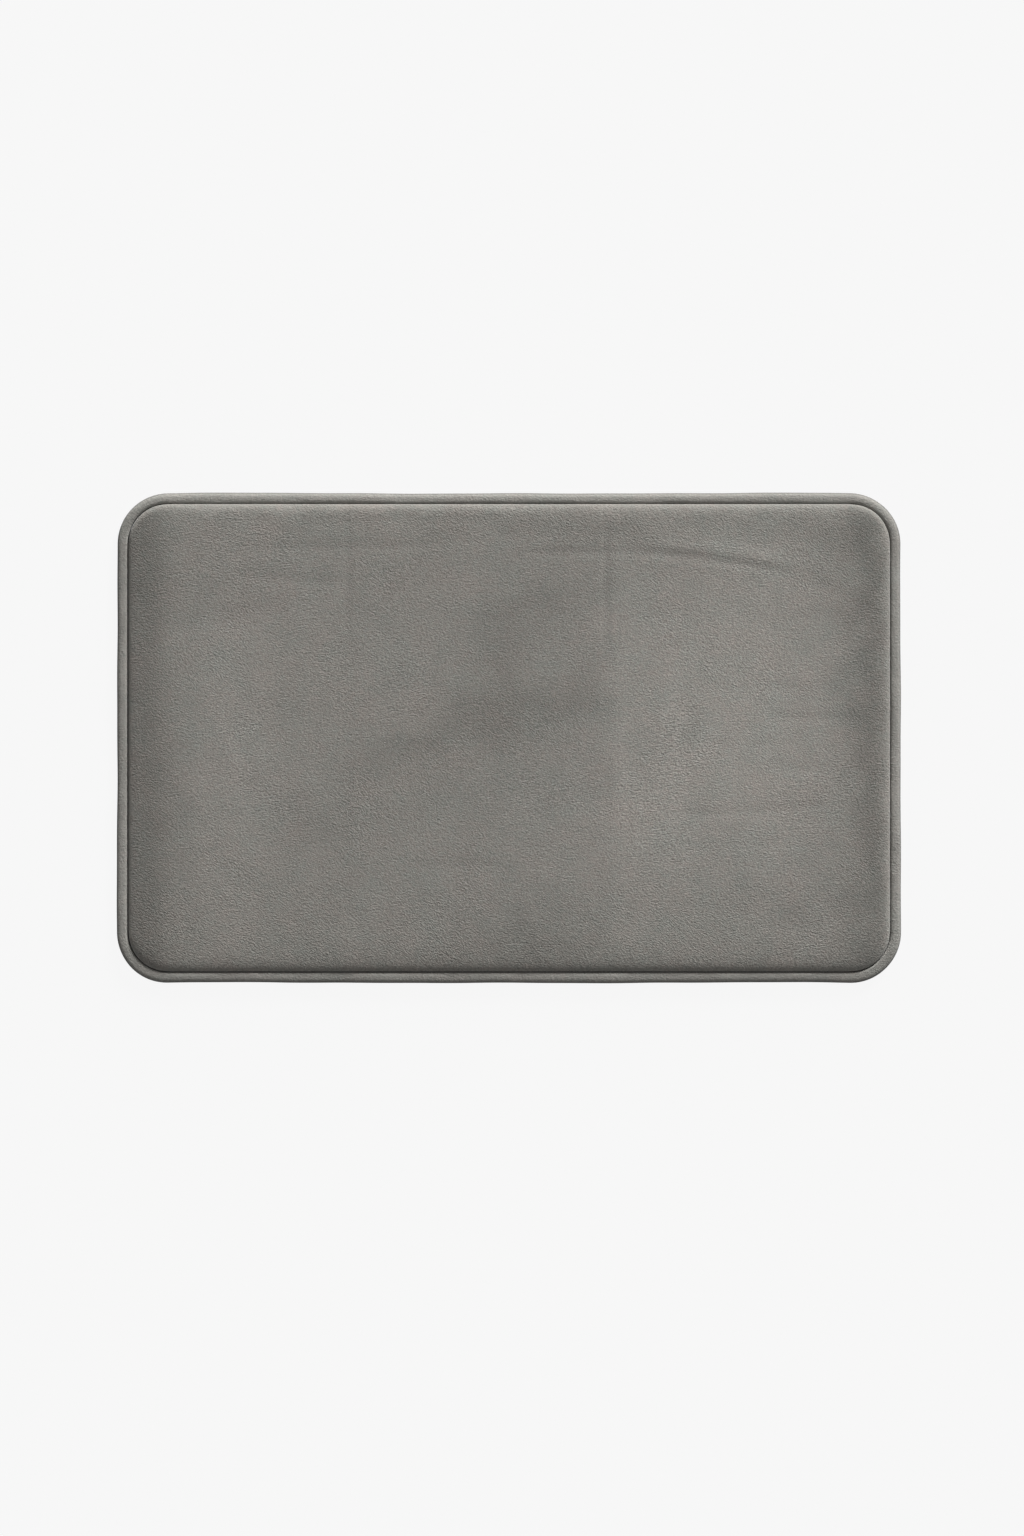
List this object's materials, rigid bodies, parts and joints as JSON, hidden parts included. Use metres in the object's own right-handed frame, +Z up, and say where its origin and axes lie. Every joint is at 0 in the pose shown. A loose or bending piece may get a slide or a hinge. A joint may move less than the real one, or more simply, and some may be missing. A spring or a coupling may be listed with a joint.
{
  "type": "bath mat",
  "caption": "Rectangular foam bath mat with rounded corners, a plush top, a rolled rim and a non-slip underside, to stand on when leaving a bath or shower.",
  "frame": {"origin": "centre of the mat's outline, on the floor plane that the underside rests on", "axes": "+X along the mat's long side, +Y along its short side, +Z up through the plush face"},
  "size_m": [0.8, 0.5, 0.0164],
  "materials": {
    "plush": "matte",
    "sponge": "matte",
    "memory_foam": "matte",
    "base_fabric": "matte",
    "grip_rubber": "satin",
    "cotton": "matte",
    "thread": "matte",
    "satin_tape": "satin"
  },
  "bodies": {
    "root": {"plush_cover": "plush", "sponge_ply": "sponge", "foam_core": "memory_foam", "base_cloth": "base_fabric", "grip_coat": "grip_rubber", "piping_cover": "plush", "piping_cord": "cotton", "ditch_thread": "thread", "bobbin_thread": "thread", "care_label": "satin_tape"}
  },
  "joints": []
}
